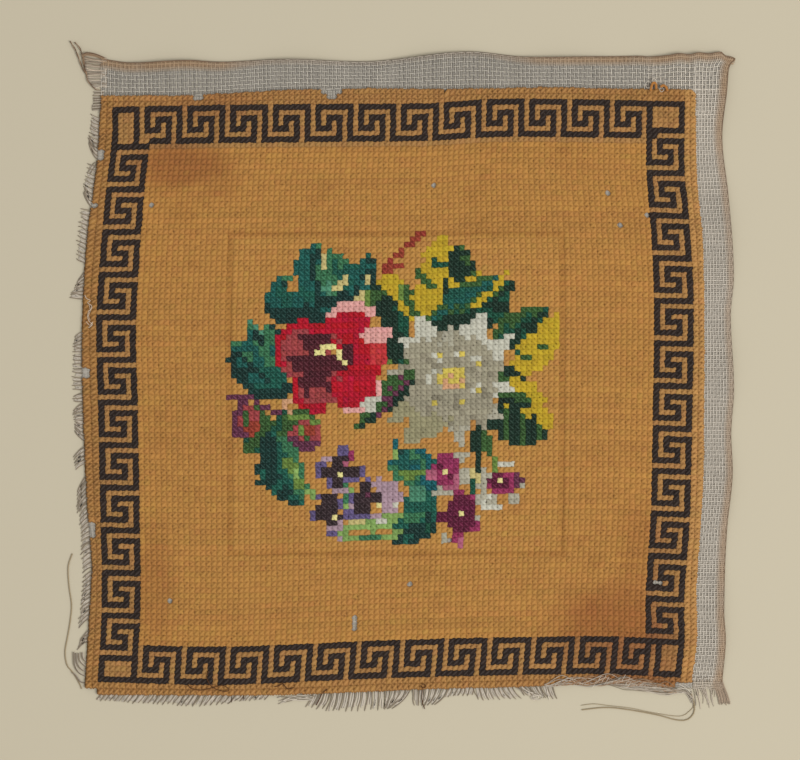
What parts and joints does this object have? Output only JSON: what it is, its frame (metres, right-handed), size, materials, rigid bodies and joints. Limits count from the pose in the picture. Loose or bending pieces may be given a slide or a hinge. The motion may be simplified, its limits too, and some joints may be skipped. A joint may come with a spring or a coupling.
{
  "type": "cross-stitch piece",
  "caption": "Square of canvas worked in wool cross stitch, with a key border, a flower wreath, bare margins and frayed edges, lying flat.",
  "frame": {"origin": "on the resting plane under the middle of the piece's box, loose threads left out", "axes": "+X to the right of the worked face, +Y to its top edge, +Z out of the worked face"},
  "size_m": [0.3196, 0.3243, 0.003],
  "materials": {
    "linen_canvas": "open double-thread canvas, aged grey",
    "wool": "matt wool cross stitch, gold ground with dark key border and coloured flowers",
    "frayed_linen": "loose canvas threads, grey brown"
  },
  "bodies": {
    "root": {"canvas": "linen_canvas", "wool_field": "wool", "fringe_left": "frayed_linen", "fringe_bottom": "frayed_linen", "frayed_top_left": "frayed_linen", "frayed_bottom_right": "frayed_linen", "ravelled_bundle": "frayed_linen", "loose_thread_left": "frayed_linen", "loose_thread_bottom": "frayed_linen"}
  },
  "joints": []
}
